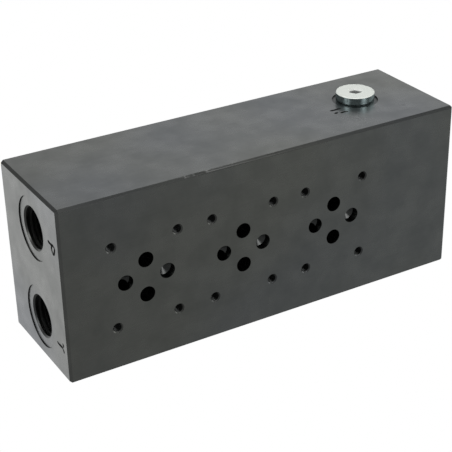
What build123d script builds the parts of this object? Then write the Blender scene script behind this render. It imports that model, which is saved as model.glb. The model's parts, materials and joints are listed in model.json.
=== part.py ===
from build123d import *
from math import radians, tan
import os

# Hydraulic manifold block for three size 6 directional valves, with its gauge port plugged.
#
# One steel bar is drilled from all sides. Two galleries, pressure (P) and tank (T), run along it
# between threaded ports in both ends. The front face holds three valve stations with the hole
# pattern of ISO 4401-03. At each station the outlets A and B run straight back to threaded ports in
# the rear face, and slanting drillings join the P and T holes to their galleries. A gauge port in
# the top face taps the pressure gallery. A screw plug with a collar and a seal ring closes it.
#
# X runs along the bar, Y from the front face to the rear face, and Z up. The origin is the middle
# of the underside. Sizes are in millimetres.

# ---- bar
block_length = 210.0
block_depth = 61.0
block_height = 86.0
edge_chamfer = 1.2

# ---- valve stations
station_count = 3
station_pitch = 50.0
first_station_from_left = 40.0
station_height = 42.75  # underside to the middle of each pattern
flow_hole_diameter = 7.5

# Hole places (x, y) as the standard gives them. Its x points up on this bar and its y to the right.
flow_holes = {"P": (21.5, 25.9), "A": (12.7, 15.5), "T": (21.5, 5.1), "B": (30.2, 15.5)}
screw_holes = {"F1": (0.0, 0.0), "F2": (40.5, -0.75), "F3": (40.5, 31.75), "F4": (0.0, 31.0)}
pattern_middle = (21.45, 15.5)  # between A and B

# ---- galleries and drillings
gallery_diameter = 13.0
gallery_from_front = 28.4
pressure_gallery_height = 65.5
tank_gallery_height = 20.75
slant_diameter = 5.5  # drilling from a P or T hole to its gallery
slant_mouth_depth = 4.0  # straight mouth in front of it
outlet_run_in = 0.5  # how far an A or B hole runs on past the foot of its rear port's wall
drill_point_angle = 118.0

# ---- threaded holes
# Each is a plain wall at its thread's major diameter, down to a flat foot except in the rear ports.
end_port_thread = 20.955  # G 1/2
end_port_depth = 18.0
end_port_spotface = 30.0

rear_port_thread = 16.662  # G 3/8
rear_port_depth = 14.0  # then the drill's cone
rear_port_spotface = 26.0
rear_port_spacing = 30.0  # A to B

spotface_depth = 0.5  # end and rear ports

gauge_port_thread = 13.157  # G 1/4
gauge_port_depth = 14.5
gauge_port_spotface = 22.8
gauge_port_spotface_depth = 0.7
gauge_port_from_right = 35.5
gauge_port_from_front = 32.6
gauge_feed_diameter = 5.0

valve_screw_thread = 5.0  # M5
valve_screw_depth = 12.0

fixing_screw_thread = 8.0  # M8, in the underside
fixing_screw_depth = 14.0
fixing_screw_from_ends = 15.0
fixing_screw_from_faces = 10.0

# ---- gauge port plug and its seal
collar_diameter = 19.0
collar_height = 5.0
collar_chamfer = 0.3
shank_length = 12.0
shank_clearance = 0.03  # on the radius, to the port's wall
neck_diameter = 11.4
neck_length = 2.0
socket_across_flats = 6.0
socket_depth = 4.5
seal_diameter = 16.5
seal_height = 1.5
seal_clearance = 0.1  # on the radius, to the groove and to the neck

# ---- shared places
left_end = -block_length / 2
right_end = block_length / 2
front_face = -block_depth / 2
rear_face = block_depth / 2
gallery_y = front_face + gallery_from_front
station_places = [left_end + first_station_from_left + station_pitch * i for i in range(station_count)]
gauge_port_x = right_end - gauge_port_from_right
gauge_port_y = front_face + gauge_port_from_front
gauge_seat = block_height - gauge_port_spotface_depth
cutter_overrun = 1.0  # how far each cutter starts outside its face


def point_length(diameter):
    """Height of the cone that a twist drill of this diameter leaves at the foot of its hole."""
    return diameter / 2 / tan(radians(drill_point_angle / 2))


def turned(*outline):
    """A solid turned about Z from its closed outline of (radius, height) points."""
    with BuildPart() as body:
        with BuildSketch(Plane.XZ):
            with BuildLine():
                Polyline(*outline, close=True)
            make_face()
        revolve(axis=Axis.Z)
    return body.part


def set_in(place, direction, cutter):
    """Moves a cutter, which is drawn from height 0 upwards, to a place on the bar and a direction."""
    return Plane(origin=place, z_dir=direction) * cutter


def drilling(diameter, depth):
    """A blind hole with the drill's cone at its foot."""
    radius = diameter / 2
    foot = depth + point_length(diameter)
    return turned((0, -cutter_overrun), (radius, -cutter_overrun), (radius, depth), (0, foot))


def spotfaced_port(thread, depth, spotface, sunk, cone=0.0):
    """A blind threaded port under a flat, round spotface, where a fitting's collar seals.

    Its foot is a cone of the given height, or flat."""
    radius = thread / 2
    return turned(
        (0, -cutter_overrun),
        (spotface / 2, -cutter_overrun),
        (spotface / 2, sunk),
        (radius, sunk),
        (radius, sunk + depth),
        (0, sunk + depth + cone),
    )


def on_front(station, place):
    """The point on the front face for a station and a place in the standard's pattern."""
    up, along = place[0] - pattern_middle[0], place[1] - pattern_middle[1]
    return (station + along, front_face, station_height + up)


def gallery(height):
    """A gallery through the whole bar, with a threaded port at each end."""
    port = spotfaced_port(end_port_thread, end_port_depth, end_port_spotface, spotface_depth)
    run = Cylinder(gallery_diameter / 2, block_length, rotation=(0, 90, 0))
    return [
        Pos(0, gallery_y, height) * run,
        set_in((left_end, gallery_y, height), (1, 0, 0), port),
        set_in((right_end, gallery_y, height), (-1, 0, 0), port),
    ]


def slanting_feed(station, name, gallery_height):
    """A P or T hole: its straight mouth, and the slanting drilling from there to the gallery's axis."""
    mouth = Vector(*on_front(station, flow_holes[name]))
    way = Vector(mouth.X, gallery_y, gallery_height) - mouth
    slant = Cylinder(slant_diameter / 2, way.length, align=(Align.CENTER, Align.CENTER, Align.MIN))
    straight = drilling(flow_hole_diameter, slant_mouth_depth)
    return [set_in(mouth, (0, 1, 0), straight), set_in(mouth, way, slant)]


def outlet(station, name, side):
    """An A or B hole straight back to its threaded port, which lies further out to leave fittings room."""
    cone = point_length(rear_port_thread)
    port = spotfaced_port(rear_port_thread, rear_port_depth, rear_port_spotface, spotface_depth, cone)
    port_height = station_height + side * rear_port_spacing / 2
    depth = block_depth - spotface_depth - rear_port_depth + outlet_run_in
    return [
        set_in(on_front(station, flow_holes[name]), (0, 1, 0), drilling(flow_hole_diameter, depth)),
        set_in((station, rear_face, port_height), (0, -1, 0), port),
    ]


def valve_screw_hole(station, name):
    """One of a station's four threaded holes for the valve's screws."""
    hole = Cylinder(valve_screw_thread / 2, 2 * valve_screw_depth)
    return set_in(on_front(station, screw_holes[name]), (0, 1, 0), hole)


def gauge_port():
    """The port in the top face, and the drilling from it down to the pressure gallery's axis."""
    port = spotfaced_port(gauge_port_thread, gauge_port_depth, gauge_port_spotface, gauge_port_spotface_depth)
    feed = drilling(gauge_feed_diameter, block_height - pressure_gallery_height)
    mouth = (gauge_port_x, gauge_port_y, block_height)
    return [set_in(mouth, (0, 0, -1), port), set_in(mouth, (0, 0, -1), feed)]


def fixing_holes():
    """Four threaded holes in the underside, to screw the bar down from below."""
    x = block_length / 2 - fixing_screw_from_ends
    y = block_depth / 2 - fixing_screw_from_faces
    hole = Cylinder(fixing_screw_thread / 2, 2 * fixing_screw_depth)
    return [Pos(sx * x, sy * y, 0) * hole for sx in (-1, 1) for sy in (-1, 1)]


def manifold_block():
    """The bar with its edges broken, and everything that is drilled in it."""
    bar = Box(block_length, block_depth, block_height, align=(Align.CENTER, Align.CENTER, Align.MIN))
    bar = chamfer(bar.edges(), edge_chamfer)
    cutters = gallery(pressure_gallery_height) + gallery(tank_gallery_height)
    cutters += gauge_port() + fixing_holes()
    for station in station_places:
        cutters += slanting_feed(station, "P", pressure_gallery_height)
        cutters += slanting_feed(station, "T", tank_gallery_height)
        cutters += outlet(station, "A", -1) + outlet(station, "B", 1)
        cutters += [valve_screw_hole(station, name) for name in screw_holes]
    return bar - cutters


def gauge_port_plug():
    """The screw plug: a round collar with a hexagon socket, a groove under it, a neck and a shank."""
    collar, neck = collar_diameter / 2, neck_diameter / 2
    groove = seal_diameter / 2 + seal_clearance
    shank = gauge_port_thread / 2 - shank_clearance
    body = turned(
        (0, collar_height),
        (collar - collar_chamfer, collar_height),
        (collar, collar_height - collar_chamfer),
        (collar, 0),
        (groove, 0),
        (groove, seal_height),
        (neck, seal_height),
        (neck, -neck_length),
        (shank, -neck_length),
        (shank, -shank_length),
        (0, -shank_length),
    )
    hexagon = extrude(RegularPolygon(socket_across_flats / 2, 6, major_radius=False), socket_depth)
    socket = Pos(0, 0, collar_height - socket_depth) * hexagon
    return Pos(gauge_port_x, gauge_port_y, gauge_seat) * (body - socket)


def gauge_port_seal():
    """The rubber ring that fills the plug's groove and bears on the port's spotface."""
    inner = neck_diameter / 2 + seal_clearance
    outer = seal_diameter / 2
    ring = turned((inner, 0), (outer, 0), (outer, seal_height), (inner, seal_height))
    return Pos(gauge_port_x, gauge_port_y, gauge_seat) * ring


pieces = {
    "manifold_block": manifold_block(),
    "gauge_port_plug": gauge_port_plug(),
    "gauge_port_seal": gauge_port_seal(),
}
os.makedirs("parts", exist_ok=True)
for name, piece in pieces.items():
    export_step(piece, f"parts/{name}.step")
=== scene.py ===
import json
import math
import bpy
import bmesh
import numpy as np
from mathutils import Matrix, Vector


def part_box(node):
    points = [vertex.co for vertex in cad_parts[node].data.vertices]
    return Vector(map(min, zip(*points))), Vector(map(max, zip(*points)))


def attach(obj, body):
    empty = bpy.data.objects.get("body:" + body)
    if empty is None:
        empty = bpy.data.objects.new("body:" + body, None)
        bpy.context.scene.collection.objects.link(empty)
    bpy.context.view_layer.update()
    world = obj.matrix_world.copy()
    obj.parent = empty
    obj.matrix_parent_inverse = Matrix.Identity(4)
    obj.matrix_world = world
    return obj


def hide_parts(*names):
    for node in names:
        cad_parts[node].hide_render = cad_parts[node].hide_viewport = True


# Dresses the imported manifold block: a ground and oiled steel bar with stamped port letters, the
# threads in its holes, and the zinc plated screw plug of the gauge port. Lengths are in millimetres
# until a mesh is made.

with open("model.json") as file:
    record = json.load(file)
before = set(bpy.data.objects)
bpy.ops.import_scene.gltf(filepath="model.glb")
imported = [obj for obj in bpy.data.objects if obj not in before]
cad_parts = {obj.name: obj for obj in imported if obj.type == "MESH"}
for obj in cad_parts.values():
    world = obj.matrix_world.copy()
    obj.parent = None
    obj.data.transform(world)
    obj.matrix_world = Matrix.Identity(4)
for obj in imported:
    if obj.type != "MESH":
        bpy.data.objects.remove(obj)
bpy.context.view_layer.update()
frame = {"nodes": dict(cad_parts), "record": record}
mm = 0.001
boxLow, boxHigh = [np.array(corner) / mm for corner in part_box("manifold_block")]
boxMiddle, boxHalf = (boxLow + boxHigh) / 2, (boxHigh - boxLow) / 2


def srgb(code):
    # "#rrggbb" to linear light, by the sRGB curve
    parts = [int(code[i:i + 2], 16) / 255 for i in (1, 3, 5)]
    return tuple(c / 12.92 if c <= 0.04045 else ((c + 0.055) / 1.055) ** 2.4 for c in parts) + (1.0,)


def addNode(tree, kind, settings=None, links=None):
    # one node: its fields and input values from settings, its inputs fed from links
    node = tree.nodes.new(kind)
    for key, value in (settings or {}).items():
        if isinstance(key, int) or key in node.inputs:
            node.inputs[key].default_value = value
        else:
            setattr(node, key, value)
    for key, source in (links or {}).items():
        tree.links.new(source, node.inputs[key])
    return node


def newMaterial(name):
    material = bpy.data.materials.new(name)
    material.use_nodes = True
    material.node_tree.nodes.clear()
    return material, material.node_tree


def towards(azimuth, elevation):
    # unit vector for degrees turned from +X towards +Y, and degrees above the horizon
    a, e = math.radians(azimuth), math.radians(elevation)
    return Vector((math.cos(e) * math.cos(a), math.cos(e) * math.sin(a), math.sin(e)))


# Camera
view = {
    "place": (-279.1, -471.8, 324.0),
    "turn": (61.704, 0.54, -31.613),  # degrees about X, Y and Z
    "lens": 101.74,
    "shift": (-0.0573, 0.0287),
}


def makeCamera():
    data = bpy.data.cameras.new("camera")
    data.lens = view["lens"]
    data.shift_x, data.shift_y = view["shift"]
    data.clip_start, data.clip_end = 0.01, 100
    camera = bpy.data.objects.new("camera", data)
    camera.location = Vector(view["place"]) * mm
    camera.rotation_euler = [math.radians(a) for a in view["turn"]]
    bpy.context.scene.collection.objects.link(camera)
    bpy.context.scene.camera = camera


# Studio: a white sweep, soft panes of light all round, and one broad lamp above
studio = {
    "floorRadius": 4000,
    "bendRadius": 1500,  # where the floor turns up into the wall
    "wallHeight": 5000,
    "sweepSteps": 64,
    "floorDrop": 0.2,
    "floorColour": "#ffffff",
    "floorGlow": 1.0,
    "roomColour": "#eef0f0",
    "roomGlow": 0.10,
    # soft panes: azimuth, elevation, half-width where full, half-width where gone, strength, colour
    "panes": {
        "table to the left": (112, -18, 2, 36, 0.44, "#fcfcff"),
        "table to the right": (350, -6, 2, 72, 0.08, "#fafff6"),
        "rear wall": (42, 7, 2, 56, 0.26, "#fbfcff"),
        "left softbox": (186, 28, 4, 18, 1.1, "#ffffff"),
        "right softbox": (290, 25, 4, 17, 1.1, "#ffffff"),
        "right pane": (350, 4, 12, 28, 0.40, "#ffffff"),
        "ceiling": (60, 86, 10, 34, 0.70, "#ffffff"),
    },
    "lamp": {"azimuth": 236, "elevation": 46, "distance": 1700, "width": 700, "power": 31.0},
}


def makeStudio():
    scene = bpy.context.scene
    scene.view_settings.view_transform = "Standard"
    world = bpy.data.worlds.new("studio")
    scene.world = world
    world.use_nodes = True
    tree = world.node_tree
    tree.nodes.clear()
    place = addNode(tree, "ShaderNodeTexCoord")
    room = srgb(studio["roomColour"])
    glow = addNode(tree, "ShaderNodeVectorMath",
                   {"operation": "SCALE", 0: room[:3], "Scale": studio["roomGlow"]})
    total = glow.outputs[0]
    for azimuth, elevation, full, gone, strength, colour in studio["panes"].values():
        aim = towards(azimuth, elevation)
        near = addNode(tree, "ShaderNodeVectorMath", {"operation": "DOT_PRODUCT", 1: aim},
                       {0: place.outputs["Generated"]})
        glow = addNode(tree, "ShaderNodeMapRange", {
            "interpolation_type": "SMOOTHSTEP", "From Min": math.cos(math.radians(gone)),
            "From Max": math.cos(math.radians(full)), "To Max": strength}, {"Value": near.outputs["Value"]})
        pane = addNode(tree, "ShaderNodeVectorMath", {"operation": "SCALE", 0: srgb(colour)[:3]},
                       {"Scale": glow.outputs[0]})
        both = addNode(tree, "ShaderNodeVectorMath", {"operation": "ADD"}, {0: total, 1: pane.outputs[0]})
        total = both.outputs[0]
    sky = addNode(tree, "ShaderNodeBackground", {"Strength": 1.0}, {"Color": total})
    addNode(tree, "ShaderNodeOutputWorld", None, {"Surface": sky.outputs[0]})

    lamp = studio["lamp"]
    data = bpy.data.lights.new("lamp", "AREA")
    data.shape = "DISK"
    data.size = lamp["width"] * mm
    data.energy = lamp["power"]
    light = bpy.data.objects.new("lamp", data)
    aim = towards(lamp["azimuth"], lamp["elevation"])
    light.location = aim * lamp["distance"] * mm
    light.rotation_euler = aim.to_track_quat("Z", "Y").to_euler()
    light.visible_glossy = False  # it lights what scatters, and leaves no glint on the steel
    scene.collection.objects.link(light)

    # sweep: a profile of (radius, height) turned about Z, flat floor, quarter bend, then the wall,
    # all of it a little below the bar
    turn = np.linspace(0, math.pi / 2, 13)
    bend = studio["bendRadius"]
    flat = studio["floorRadius"]
    radii = np.concatenate([[1.0], flat + bend * np.sin(turn), [flat + bend]])
    heights = np.concatenate([[0.0], bend * (1 - np.cos(turn)), [studio["wallHeight"]]])
    steps = studio["sweepSteps"]
    around = np.linspace(0, 2 * math.pi, steps, endpoint=False)
    points = np.stack([radii[:, None] * np.cos(around), radii[:, None] * np.sin(around),
                       np.repeat(heights[:, None] - studio["floorDrop"], steps, 1)], -1)
    mesh = bpy.data.meshes.new("sweep")
    faces = gridFaces(len(radii), steps, False, True).tolist() + [list(range(steps))]
    mesh.from_pydata((points.reshape(-1, 3) * mm).tolist(), [], faces)
    sweep = bpy.data.objects.new("sweep", mesh)
    scene.collection.objects.link(sweep)
    sweep.visible_diffuse = sweep.visible_glossy = sweep.visible_transmission = sweep.visible_shadow = False
    material, tree = newMaterial("white studio paper")
    shader = addNode(tree, "ShaderNodeEmission",
                     {"Color": srgb(studio["floorColour"]), "Strength": studio["floorGlow"]})
    addNode(tree, "ShaderNodeOutputMaterial", None, {"Surface": shader.outputs[0]})
    mesh.materials.append(material)


# Surfaces
def gridFaces(rows, columns, wrapRows, wrapColumns):
    # quads between neighbours of a grid of points, joined round where a direction wraps
    r = np.arange(rows if wrapRows else rows - 1)[:, None]
    c = np.arange(columns if wrapColumns else columns - 1)[None, :]
    nextR, nextC = (r + 1) % rows, (c + 1) % columns
    quads = [r * columns + c, r * columns + nextC, nextR * columns + nextC, nextR * columns + c]
    return np.stack(quads, -1).reshape(-1, 4)


def closedShape(points, wrapRows=False):
    # closed surface over a grid of points: each row is a closed loop. Open ends get a flat face, and
    # the faces are turned round if the enclosed volume, summed corner by corner, comes out negative.
    rows, columns = points.shape[:2]
    flat = points.reshape(-1, 3)
    quads = gridFaces(rows, columns, wrapRows, True)
    centred = flat - flat.mean(0)
    a, b, c, d = [centred[quads[:, i]] for i in range(4)]
    volume = (np.cross(a, b) * c).sum() + (np.cross(a, c) * d).sum()
    caps = [] if wrapRows else [list(range(columns))[::-1], list(range((rows - 1) * columns, rows * columns))]
    faces = quads.tolist() + caps
    return flat, [face[::-1] for face in faces] if volume < 0 else faces


def pieceOf(name, shapes):
    # one object from several closed shapes, given in millimetres
    start, points, faces = 0, [], []
    for shapePoints, shapeFaces in shapes:
        points.append(shapePoints)
        faces += [[i + start for i in face] for face in shapeFaces]
        start += len(shapePoints)
    mesh = bpy.data.meshes.new(name)
    mesh.from_pydata((np.concatenate(points) * mm).tolist(), [], faces)
    mesh.update()
    piece = bpy.data.objects.new(name, mesh)
    bpy.context.scene.collection.objects.link(piece)
    return piece


def axes(direction):
    # two unit vectors square to a direction; first x second = direction
    direction = np.asarray(direction, float)
    first = np.cross(direction, (0, 0, 1)) if abs(direction[2]) < 0.9 else np.array((1.0, 0, 0))
    return first, np.cross(direction, first)


def turnedLoop(mouth, direction, radii, depths, count):
    # circles of the given radii at the given depths into a hole, one row for each
    first, second = axes(direction)
    t = np.linspace(0, 2 * math.pi, count, endpoint=False)[None, :, None]
    r, d = np.asarray(radii)[:, None, None], np.asarray(depths)[:, None, None]
    return np.asarray(mouth) + r * (np.cos(t) * first + np.sin(t) * second) - d * np.asarray(direction)


def shadeSmooth(mesh, angle, groups=None):
    # smooth, but sharp past an angle and along the borders between groups of faces
    mesh.shade_smooth()
    mesh.set_sharp_from_angle(angle=math.radians(angle))
    if groups is None:
        return
    corners, sides = np.empty(len(mesh.loops), int), np.empty(len(mesh.polygons), int)
    mesh.loops.foreach_get("edge_index", corners)
    mesh.polygons.foreach_get("loop_total", sides)
    low, high = np.full(len(mesh.edges), 99), np.full(len(mesh.edges), -1)
    np.minimum.at(low, corners, np.repeat(groups, sides))
    np.maximum.at(high, corners, np.repeat(groups, sides))
    marks = mesh.attributes.get("sharp_edge") or mesh.attributes.new("sharp_edge", "BOOLEAN", "EDGE")
    sharp = np.empty(len(mesh.edges), bool)
    marks.data.foreach_get("value", sharp)
    marks.data.foreach_set("value", sharp | (low != high))


def mergedCopy(node, name):
    # a CAD node's mesh with its loose triangles joined
    mesh = frame["nodes"][node].data.copy()
    mesh.name = name
    mesh.materials.clear()
    if "custom_normal" in mesh.attributes:
        mesh.attributes.remove(mesh.attributes["custom_normal"])
    joined = bmesh.new()
    joined.from_mesh(mesh)
    bmesh.ops.remove_doubles(joined, verts=joined.verts, dist=2e-6)
    joined.to_mesh(mesh)
    joined.free()
    piece = bpy.data.objects.new(name, mesh)
    bpy.context.scene.collection.objects.link(piece)
    return piece


def faceTable(mesh):
    # centres in millimetres, and normals, of all faces
    centres, normals = np.empty(len(mesh.polygons) * 3), np.empty(len(mesh.polygons) * 3)
    mesh.polygons.foreach_get("center", centres)
    mesh.polygons.foreach_get("normal", normals)
    return centres.reshape(-1, 3) / mm, normals.reshape(-1, 3)


# Ground steel: a low carbon steel bar, surface ground along its length and wiped with oil. It acts as
# a soft mirror, with cloudy patches where the oil lies and faint streaks from the wheel.
steel = {
    "bright": "#c6c7c6",
    "cloudy": "#a9abab",
    "greenish": "#c3c5bb",
    "bluish": "#bcc1c5",
    "roughness": (0.24, 0.33),
    "streakWidth": 0.9,  # grit marks are some 0.05 mm apart; drawn this coarse so that they show
    "streakLength": 22.0,
    "cloudSize": 14.0,
    "tintSize": 90.0,
    "grain": 0.45,
    "edgePaintedShade": 0.62,  # painted shade: the chamfers, countersinks and spotface floor are drawn darker than the ground faces
    "milledRougher": 0.04,
}


def groundSteel(name, darker=1.0, rougher=0.0):
    material, tree = newMaterial(name)
    place = addNode(tree, "ShaderNodeTexCoord").outputs["Object"]
    across = 1 / (steel["streakWidth"] * mm)
    along = [1 / (steel["streakLength"] * mm), across, across]
    stretched = addNode(tree, "ShaderNodeMapping", {"Scale": along}, {"Vector": place})
    streaks = addNode(tree, "ShaderNodeTexNoise", {"Scale": 1.0, "Detail": 3.0, "Roughness": 0.6},
                      {"Vector": stretched.outputs[0]})
    clouds = addNode(tree, "ShaderNodeTexNoise",
                     {"Scale": 1 / (steel["cloudSize"] * mm), "Detail": 4.0, "Roughness": 0.55},
                     {"Vector": place})
    tints = addNode(tree, "ShaderNodeTexNoise", {"Scale": 1 / (steel["tintSize"] * mm), "Detail": 1.0},
                    {"Vector": place})
    grain = addNode(tree, "ShaderNodeTexNoise", {"Scale": 1 / (steel["grain"] * mm), "Detail": 2.0},
                    {"Vector": place})
    cloudy = addNode(tree, "ShaderNodeMapRange", {"From Min": 0.34, "From Max": 0.66},
                     {"Value": clouds.outputs[0]})
    base = addNode(tree, "ShaderNodeMix",
                   {"data_type": "RGBA", 6: srgb(steel["bright"]), 7: srgb(steel["cloudy"])},
                   {0: cloudy.outputs[0]})
    tinted = addNode(tree, "ShaderNodeMapRange", {"From Min": 0.4, "From Max": 0.6},
                     {"Value": tints.outputs[0]})
    tint = addNode(tree, "ShaderNodeMix",
                   {"data_type": "RGBA", 6: srgb(steel["greenish"]), 7: srgb(steel["bluish"])},
                   {0: tinted.outputs[0]})
    mixed = addNode(tree, "ShaderNodeMix", {"data_type": "RGBA", 0: 0.4},
                    {6: base.outputs[2], 7: tint.outputs[2]})
    # darker scales the colour down; below 1 it is painted shade
    shade = addNode(tree, "ShaderNodeMapRange", {"To Min": 0.94 * darker, "To Max": 1.06 * darker},
                    {"Value": streaks.outputs[0]})
    colour = addNode(tree, "ShaderNodeVectorMath", {"operation": "SCALE"},
                     {0: mixed.outputs[2], "Scale": shade.outputs[0]})
    low, high = steel["roughness"]
    rough = addNode(tree, "ShaderNodeMapRange",
                    {"From Min": 0.3, "From Max": 0.7, "To Min": low + rougher, "To Max": high + rougher},
                    {"Value": clouds.outputs[0]})
    height = addNode(tree, "ShaderNodeMath", {"operation": "MULTIPLY_ADD", 1: 0.2},
                     {0: grain.outputs[0], 2: streaks.outputs[0]})
    bump = addNode(tree, "ShaderNodeBump", {"Strength": 0.10, "Distance": 0.02 * mm},
                   {"Height": height.outputs[0]})
    shader = addNode(tree, "ShaderNodeBsdfPrincipled", {"Metallic": 1.0},
                     {"Base Color": colour.outputs[0], "Roughness": rough.outputs[0],
                      "Normal": bump.outputs[0]})
    addNode(tree, "ShaderNodeOutputMaterial", None, {"Surface": shader.outputs[0]})
    return material


# Drilled steel: walls left by the drill and the tap, grey from the cut and dark as painted shade for the
# depth of the holes, so they stay nearly black but for a glint. Stamped steel is the same and darker:
# painted shade in the struck letters and the small threads, and darker on the corners of the bar.
drilled = {
    # both colours are painted shade; the mix between them is random tone
    "colour": "#9b9d9c",
    "paintedShade": "#5c5e5d",
    "stampColour": "#6a6c6b",
    "stampPaintedShade": "#474848",
    "roughness": (0.22, 0.34),
    "scoreWidth": 0.25,
    "patch": 4.0,
}


def drilledSteel(name, bright, dark):
    material, tree = newMaterial(name)
    place = addNode(tree, "ShaderNodeTexCoord").outputs["Object"]
    patches = addNode(tree, "ShaderNodeTexNoise", {"Scale": 1 / (drilled["patch"] * mm), "Detail": 3.0},
                      {"Vector": place})
    scores = addNode(tree, "ShaderNodeTexNoise", {"Scale": 1 / (drilled["scoreWidth"] * mm), "Detail": 2.0},
                     {"Vector": place})
    colour = addNode(tree, "ShaderNodeMix", {"data_type": "RGBA", 6: srgb(bright), 7: srgb(dark)},
                     {0: patches.outputs[0]})
    low, high = drilled["roughness"]
    rough = addNode(tree, "ShaderNodeMapRange", {"To Min": low, "To Max": high}, {"Value": patches.outputs[0]})
    bump = addNode(tree, "ShaderNodeBump", {"Strength": 0.15, "Distance": 0.02 * mm},
                   {"Height": scores.outputs[0]})
    shader = addNode(tree, "ShaderNodeBsdfPrincipled", {"Metallic": 1.0},
                     {"Base Color": colour.outputs[2], "Roughness": rough.outputs[0],
                      "Normal": bump.outputs[0]})
    addNode(tree, "ShaderNodeOutputMaterial", None, {"Surface": shader.outputs[0]})
    return material


# Block
block = {
    "edge": 1.25,  # faces this near to two sides of the bar are its chamfers
    "spotface": (0.6, 0.75),  # the gauge port's spotface lies between these depths
    "screwHoles": (2.5, 4.0),  # thread radii of the holes that get a countersink
    "countersink": 0.1,  # on the radius and in depth, outside the thread's own lead-in
    "letterWidth": {"left": 1.4, "top": 1.5},
    "letterDepth": 0.7,
    # strokes of the stamped letters, as points (across, up) on their face: y and z on the left end,
    # x and y on the top
    "leftStrokes": [
        [(-18.9, 67.4), (-20.4, 67.1), (-21.9, 66.9), (-24.0, 67.1), (-25.2, 67.3)],
        [(-23.2, 67.0), (-22.5, 65.3), (-23.0, 63.8), (-24.0, 62.5)],
        [(-25.2, 67.3), (-26.0, 66.2), (-25.3, 64.2), (-24.0, 62.4)],
        [(-18.7, 16.4), (-21.2, 16.1), (-24.5, 16.3), (-25.6, 15.2), (-26.1, 13.8)],
        [(-24.7, 18.5), (-25.8, 18.1), (-25.4, 16.8)],
    ],
    "topStrokes": [
        [(50.7, -3.7), (53.0, -3.8), (56.8, -3.6)],
        [(50.5, -7.7), (52.9, -6.9)],
        [(53.4, -8.6), (56.2, -8.0), (57.9, -8.7)],
    ],
    "dent": {"place": (84.4, -17.1), "radii": (1.5, 0.9), "depth": 0.12},
    "nicks": [(-44.0, 1.6, 0.5), (-39.5, 1.1, 0.35), (-33.0, 2.2, 0.5)],  # x, half-length, depth
}


def carvedStroke(points, up, plane):
    # a V section carried along a path on a flat face: its lip stands 0.1 above the face, its point
    # lies the letter's depth below, and both draw in towards the ends of the stroke
    width, depth = block["letterWidth"][up], block["letterDepth"]
    rough = np.array(points, float)
    length = np.concatenate([[0], np.cumsum(np.linalg.norm(np.diff(rough, axis=0), axis=1))])
    t = np.linspace(0, length[-1], 14)
    path = np.stack([np.interp(t, length, rough[:, i]) for i in (0, 1)], -1)
    ahead = np.gradient(path, axis=0)
    side = np.stack([-ahead[:, 1], ahead[:, 0]], -1) / np.linalg.norm(ahead, axis=1)[:, None]
    fade = np.clip(np.minimum(t, t[-1] - t) / 0.5, 0.25, 1)[:, None]
    reach = 1 + 0.1 / depth  # the V's walls run on to the lip
    rows = [path + side * fade * width / 2 * reach, path - side * fade * width / 2 * reach, path]
    heights = [np.full(14, 0.1), np.full(14, 0.1), -depth * fade[:, 0]]
    flat = np.stack(rows, 1)
    level = np.stack(heights, 1)[..., None]
    if up == "left":
        return closedShape(np.concatenate([plane - level, flat], -1))
    return closedShape(np.concatenate([flat, plane + level], -1))


def bowl(middle, radii, count=20):
    # lower and upper halves of an ellipsoid: radii times the unit sphere's grid of latitude and turn
    rise = np.radians(np.linspace(-89, 89, 15))[:, None, None]
    turn = np.linspace(0, 2 * math.pi, count, endpoint=False)[None, :, None]
    level = np.cos(rise)
    sphere = np.concatenate([level * np.cos(turn), level * np.sin(turn), np.sin(rise) + 0 * turn], -1)
    return closedShape(np.asarray(middle) + sphere * np.asarray(radii))


def tappedHoles():
    # mouth and direction of each tapped hole, from the record's mounts, by thread radius
    holes = {}
    for mount in frame["record"]["mounts"]:
        place, direction, size = np.array(mount["pos_m"]) / mm, np.array(mount["axis"], float), mount["dims"]
        if mount["kind"] == "threaded_hole":
            mouth = place + direction * size["length_mm"] / 2
            holes.setdefault(round(size["r_mm"], 2), []).append((mouth, direction))
        elif mount["kind"] == "bolt_pattern":
            x, y = size["spacing_x_mm"] / 2, size.get("spacing_y_mm", 0) / 2
            offsets = [(sx * x, sy * y, 0) for sx in (-1, 1) for sy in ((-1, 1) if y else (0,))]
            mouths = [(place + np.array(offset), direction) for offset in offsets]
            holes.setdefault(round(size["hole_r_mm"], 2), []).extend(mouths)
    return holes


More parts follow.
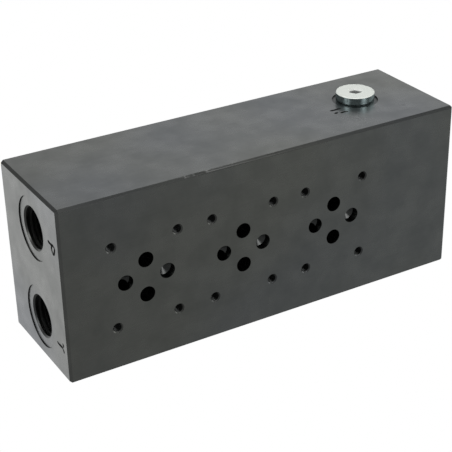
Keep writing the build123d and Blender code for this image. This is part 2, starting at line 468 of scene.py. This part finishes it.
def makeBlock(materials, holes):
    piece = mergedCopy("manifold_block", "groundBlock")
    sink = block["countersink"]
    cones = []
    for radius in block["screwHoles"]:
        for mouth, direction in holes[radius]:
            cone = turnedLoop(mouth, direction, (radius + sink + 0.2, radius - 0.05), (-0.2, sink + 0.05), 40)
            cones.append(closedShape(cone))
    cutters = [pieceOf("countersinks", cones)]
    for i, stroke in enumerate(block["leftStrokes"]):
        cutters.append(pieceOf(f"leftStroke{i}", [carvedStroke(stroke, "left", boxLow[0])]))
    for i, stroke in enumerate(block["topStrokes"]):
        cutters.append(pieceOf(f"topStroke{i}", [carvedStroke(stroke, "top", boxHigh[2])]))
    dent = block["dent"]
    (a, b), deep = dent["radii"], dent["depth"]
    lift = 0.5
    scale = 1 / math.sqrt(1 - (lift / (lift + deep)) ** 2)
    dip = bowl((*dent["place"], boxHigh[2] + lift), (a * scale, b * scale, lift + deep), 28)
    cutters.append(pieceOf("dent", [dip]))
    corner = np.array((0, boxLow[1] + 0.6, boxHigh[2] - 0.6))
    for i, (x, half, deep) in enumerate(block["nicks"]):
        nick = bowl(corner + (x, -0.45, 0.75), (half, 0.9 + deep / 3, 0.85 + deep / 3), 12)
        cutters.append(pieceOf(f"nick{i}", [nick]))
    group = bpy.data.collections.new("cutters")
    bpy.context.scene.collection.children.link(group)
    for cutter in cutters:
        bpy.context.scene.collection.objects.unlink(cutter)
        group.objects.link(cutter)
    carve = piece.modifiers.new("carve", "BOOLEAN")
    carve.operation, carve.solver = "DIFFERENCE", "EXACT"
    carve.operand_type, carve.collection = "COLLECTION", group
    carved = bpy.data.meshes.new_from_object(piece.evaluated_get(bpy.context.evaluated_depsgraph_get()))
    piece.modifiers.clear()
    piece.data = carved
    for cutter in cutters:
        bpy.data.objects.remove(cutter)
    bpy.data.collections.remove(group)

    # which finish each face has: 0 ground, 1 milled, with painted shade, 2 drilled and 3 stamped, with deeper
    # painted shade. A face's gaps are its distances from the bar's six sides, taken two by two, and it is flat
    # where it faces the nearest.
    centres, normals = faceTable(carved)
    gaps = boxHalf - np.abs(centres - boxMiddle)
    nearest, second, third = np.sort(gaps, 1).T
    side = gaps.argmin(1)
    facing = np.take_along_axis(normals * np.sign(centres - boxMiddle), side[:, None], 1)[:, 0]
    shallow, deepest = block["spotface"]
    finish = np.full(len(centres), 2)
    finish[(nearest < deepest) & (facing > 0.9)] = 0
    sloping = (facing > 0.5) & (facing < 0.9)
    finish[(nearest < sink) & ((side == 1) | (centres[:, 2] < 1)) & sloping] = 1
    # the gauge port's spotface floor takes the milled steel: painted shade, a dark ring round the plug
    finish[(nearest > shallow) & (nearest < deepest) & (facing > 0.9)] = 1
    # struck letters take the stamped steel: painted shade in the grooves
    lettered = (nearest < block["letterDepth"]) & (facing < 0.9) & ((side == 2) | (side == 0))
    finish[lettered & (finish == 2)] = 3
    level = gaps[:, 2] < block["edge"]  # along the top and underside
    # chamfers along the top and underside take the milled steel: painted shade
    finish[(second < block["edge"]) & level] = 1
    finish[third < block["edge"]] = 3  # the small corners, where three edges meet
    finish[(second < block["edge"]) & ~level] = 0  # upright edges, as bright as the faces
    carved.materials.clear()
    for material in materials:
        carved.materials.append(material)
    carved.polygons.foreach_set("material_index", finish.astype(np.int32))
    flat = np.where((nearest < 0.01) & (facing > 0.999), side, 9)
    shadeSmooth(carved, 28, flat * 3 + finish)
    carved.update()
    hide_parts("manifold_block")
    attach(piece, "root")
    print("block", len(carved.polygons), "faces;", np.bincount(finish, minlength=4).tolist())


# Threads: each hole has a lead-in cone, then a ridge that winds inwards from its plain wall
threads = {
    "endPortThreads": {
        "radius": 10.4775, "pitch": 1.814, "height": 1.162, "length": 16.0, "steps": 60,
        "mouth": 0.0,  # depth where the lead-in starts
        "leadIn": 0.62,  # its width, as a share of the thread's height
    },
    "rearPortThreads": {
        "radius": 8.331, "pitch": 1.337, "height": 0.856, "length": 12.0, "steps": 52,
        "mouth": 0.0, "leadIn": 0.62,
    },
    "valveScrewThreads": {
        "radius": 2.5, "pitch": 0.8, "height": 0.433, "length": 10.0, "steps": 26,
        "mouth": 0.1, "leadIn": 1.0,
    },
    "fixingScrewThreads": {
        "radius": 4.0, "pitch": 1.25, "height": 0.677, "length": 12.0, "steps": 32,
        "mouth": 0.1, "leadIn": 1.0,
    },
}
ridgeShape = {"root": 0.44, "crest": 0.13}  # half-widths of the ridge, as shares of the pitch


def leadIn(kind, mouth, direction):
    # a four-cornered section turned round the hole: 45 degrees in from the wall, a short land, and a
    # slope back behind the wall
    wall, cut, top = kind["radius"] + 0.05, kind["height"] * kind["leadIn"], kind["mouth"]
    radii = (wall, kind["radius"] - cut, kind["radius"] - cut, wall)
    depths = (top + 0.02, top + cut, top + cut * 1.12, top + cut * 1.7)
    loops = turnedLoop(mouth, direction, radii, depths, kind["steps"])
    return closedShape(np.swapaxes(loops, 0, 1), wrapRows=True)


def ridge(kind, mouth, direction):
    # point = mouth + radius * (cos t, -sin t) - depth * direction, for turn t and each corner of the
    # ridge's section; depth grows by one pitch a turn, and the crest sinks to the wall at both ends
    pitch, height, wall = kind["pitch"], kind["height"], kind["radius"] + 0.05
    first, second = axes(direction)
    root, crest = ridgeShape["root"], ridgeShape["crest"]
    start = kind["mouth"] + height * kind["leadIn"] + root * pitch
    turns = (kind["length"] - start) / pitch
    t = np.linspace(0, 2 * math.pi * turns, int(turns * kind["steps"]))[:, None]
    fade = np.clip(np.minimum(t, t[-1] - t) / (2 * math.pi / 3), 0.03, 1)
    along = np.array([-root, -crest, crest, root]) * pitch
    radius = wall - np.array([0, 1, 1, 0]) * (height + 0.05) * fade
    depth = start + pitch * t / (2 * math.pi) + along
    out = np.cos(t)[..., None] * first - np.sin(t)[..., None] * second
    return closedShape(np.asarray(mouth) + radius[..., None] * out - depth[..., None] * np.asarray(direction))


def makeThreads(materials, holes):
    # materials: of lead-ins and port threads, then of the threads in the screw holes
    for name, kind in threads.items():
        dim = kind["radius"] < 5  # little light finds its way into the screw holes
        mouths = holes[round(kind["radius"], 2)]
        shapes = [shape(kind, mouth, direction) for shape in (leadIn, ridge) for mouth, direction in mouths]
        piece = pieceOf(name, shapes)
        for material in materials:
            piece.data.materials.append(material)
        rings = len(mouths) * kind["steps"] * 4
        finish = np.where(np.arange(len(piece.data.polygons)) < rings, 0, 1 if dim else 0).astype(np.int32)
        piece.data.polygons.foreach_set("material_index", finish)
        shadeSmooth(piece.data, 35)
        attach(piece, "root")
        print(name, len(piece.data.polygons), "faces")


# Zinc plate: a turned steel plug with bright zinc. Its end is faced on the lathe and scatters light
# softly, its rim is smooth and mirrors the bar, and the pressed socket is satin.
zinc = {
    "endColour": "#eaeee8",
    "rimColour": "#c6d8d9",
    "socketColour": "#f6f8f4",
    "endFinish": (0.2, 0.5),  # metallic and roughness
    "rimFinish": (1.0, 0.28),
    "socketFinish": (0.05, 0.3),
    "steps": 132,  # round the axis, a multiple of six so that the hexagon's corners fall on them
    # corners of the turned profile, as radius and height above the seat: shank, neck, seal groove, collar
    "profile": (
        (6.5485, -12.0), (6.5485, -2.0), (5.7, -2.0), (5.7, 1.5), (8.35, 1.5), (8.35, 0.0),
        (9.5, 0.0), (9.5, 4.7), (9.2, 5.0),
    ),
    "socket": (3.0, 5.0, 0.5),  # half the width across flats, and the heights of its mouth and floor
    "shadeDepth": (0.5, 1.4),  # painted shade: full colour above, darker below
    "toolMark": 0.55,  # feed of the facing cut; drawn coarser than the real 0.1 mm
}


def zincPlate(name, colour, metallic, roughness, middle=None, top=None):
    material, tree = newMaterial(name)
    place = addNode(tree, "ShaderNodeTexCoord").outputs["Object"]
    bloom = addNode(tree, "ShaderNodeTexNoise", {"Scale": 1 / (2.5 * mm), "Detail": 4.0}, {"Vector": place})
    shade = addNode(tree, "ShaderNodeMapRange", {"To Min": 0.93, "To Max": 1.05}, {"Value": bloom.outputs[0]})
    tint = addNode(tree, "ShaderNodeVectorMath", {"operation": "SCALE", 0: srgb(colour)[:3]},
                   {"Scale": shade.outputs[0]})
    rough = addNode(tree, "ShaderNodeMapRange",
                    {"From Min": 0.3, "From Max": 0.7, "To Min": roughness * 0.85, "To Max": roughness * 1.15},
                    {"Value": bloom.outputs[0]})
    if top is not None:  # painted shade darkens the depth of the socket
        height = addNode(tree, "ShaderNodeSeparateXYZ", None, {"Vector": place})
        unshaded = addNode(tree, "ShaderNodeMapRange", {
            "interpolation_type": "SMOOTHSTEP", "From Min": (top - zinc["shadeDepth"][1]) * mm,
            "From Max": (top - zinc["shadeDepth"][0]) * mm, "To Min": 0.16, "To Max": 1.0},
            {"Value": height.outputs["Z"]})
        tint = addNode(tree, "ShaderNodeVectorMath", {"operation": "SCALE"},
                       {0: tint.outputs[0], "Scale": unshaded.outputs[0]})
    shader = addNode(tree, "ShaderNodeBsdfPrincipled", {"Metallic": metallic},
                     {"Base Color": tint.outputs[0], "Roughness": rough.outputs[0]})
    if middle is not None:
        centred = addNode(tree, "ShaderNodeMapping", {"Location": (-middle[0] * mm, -middle[1] * mm, 0)},
                          {"Vector": place})
        rings = addNode(tree, "ShaderNodeTexWave", {
            "wave_type": "RINGS", "rings_direction": "Z", "Distortion": 0.6,
            "Scale": math.pi / 10 / (zinc["toolMark"] * mm)}, {"Vector": centred.outputs[0]})
        bump = addNode(tree, "ShaderNodeBump", {"Strength": 0.25, "Distance": 0.02 * mm},
                       {"Height": rings.outputs[0]})
        tree.links.new(bump.outputs[0], shader.inputs["Normal"])
    addNode(tree, "ShaderNodeOutputMaterial", None, {"Surface": shader.outputs[0]})
    return material


def makePlug():
    # point = axis + radius(t) * (cos t, sin t) for turn t, one row for each corner of the turned
    # profile, by heights above the seat; the socket's rows run round a hexagon instead, where
    # radius(t) = half width across flats / cos(t - the middle of the flat it is on)
    low, high = [np.array(corner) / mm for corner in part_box("gauge_port_plug")]
    middle = (low + high)[:2] / 2
    t = np.linspace(0, 2 * math.pi, zinc["steps"], endpoint=False)
    flat, mouth, floor = zinc["socket"]
    hexagon = flat / np.cos(t % (math.pi / 3) - math.pi / 6)
    radius = np.array([0 * t + r for r, _ in zinc["profile"]] + [hexagon, hexagon])
    heights = [h for _, h in zinc["profile"]] + [mouth, floor]
    height = np.array(heights)[:, None] + high[2] - mouth + 0 * t
    points = np.stack([middle[0] + radius * np.cos(t), middle[1] + radius * np.sin(t), height], 2)
    piece = pieceOf("zincPlug", [closedShape(points)])
    centres, normals = faceTable(piece.data)
    radius = np.linalg.norm(centres[:, :2] - middle, axis=1)
    finish = np.full(len(centres), 1)
    finish[(normals[:, 2] > 0.5) & (centres[:, 2] > high[2] - 0.5)] = 0
    inside = (centres[:, 2] < high[2] - 0.01) & (centres[:, 2] > high[2] - mouth)
    finish[(radius < hexagon.max() + 0.1) & inside] = 2
    for material in (zincPlate("facedZincPlate", zinc["endColour"], *zinc["endFinish"], middle),
                     zincPlate("smoothZincPlate", zinc["rimColour"], *zinc["rimFinish"]),
                     zincPlate("pressedZincPlate", zinc["socketColour"], *zinc["socketFinish"], top=high[2])):
        piece.data.materials.append(material)
    piece.data.polygons.foreach_set("material_index", finish.astype(np.int32))
    shadeSmooth(piece.data, 25, finish)
    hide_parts("gauge_port_plug")
    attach(piece, "root")
    print("plug", len(piece.data.polygons), "faces")


# Rubber: moulded nitrile ring, matt black with a faint bloom
rubber = {"colour": "#111212", "bloom": "#1d1e1f", "roughness": 0.55}


def rubberRing():
    material, tree = newMaterial("mouldedNitrileRubber")
    place = addNode(tree, "ShaderNodeTexCoord").outputs["Object"]
    bloom = addNode(tree, "ShaderNodeTexNoise", {"Scale": 1 / (1.2 * mm), "Detail": 3.0}, {"Vector": place})
    colour = addNode(tree, "ShaderNodeMix",
                     {"data_type": "RGBA", 6: srgb(rubber["colour"]), 7: srgb(rubber["bloom"])},
                     {0: bloom.outputs[0]})
    bump = addNode(tree, "ShaderNodeBump", {"Strength": 0.2, "Distance": 0.02 * mm},
                   {"Height": bloom.outputs[0]})
    shader = addNode(tree, "ShaderNodeBsdfPrincipled", {"Roughness": rubber["roughness"], "IOR": 1.52},
                     {"Base Color": colour.outputs[2], "Normal": bump.outputs[0]})
    addNode(tree, "ShaderNodeOutputMaterial", None, {"Surface": shader.outputs[0]})
    return material


makeCamera()
makeStudio()
print("camera and studio")
holes = tappedHoles()
ground = groundSteel("groundSteel")
# the milled edge steel is the ground steel darkened as painted shade
milled = groundSteel("edgeSteelPaintedShade", steel["edgePaintedShade"], steel["milledRougher"])
bored = drilledSteel("drilledSteel", drilled["colour"], drilled["paintedShade"])
stamped = drilledSteel("stampedSteelPaintedShade", drilled["stampColour"], drilled["stampPaintedShade"])
makeBlock((ground, milled, bored, stamped), holes)
makeThreads((milled, stamped), holes)
makePlug()
seal = frame["nodes"]["gauge_port_seal"]
seal.data.materials.clear()
seal.data.materials.append(rubberRing())
print("seal")
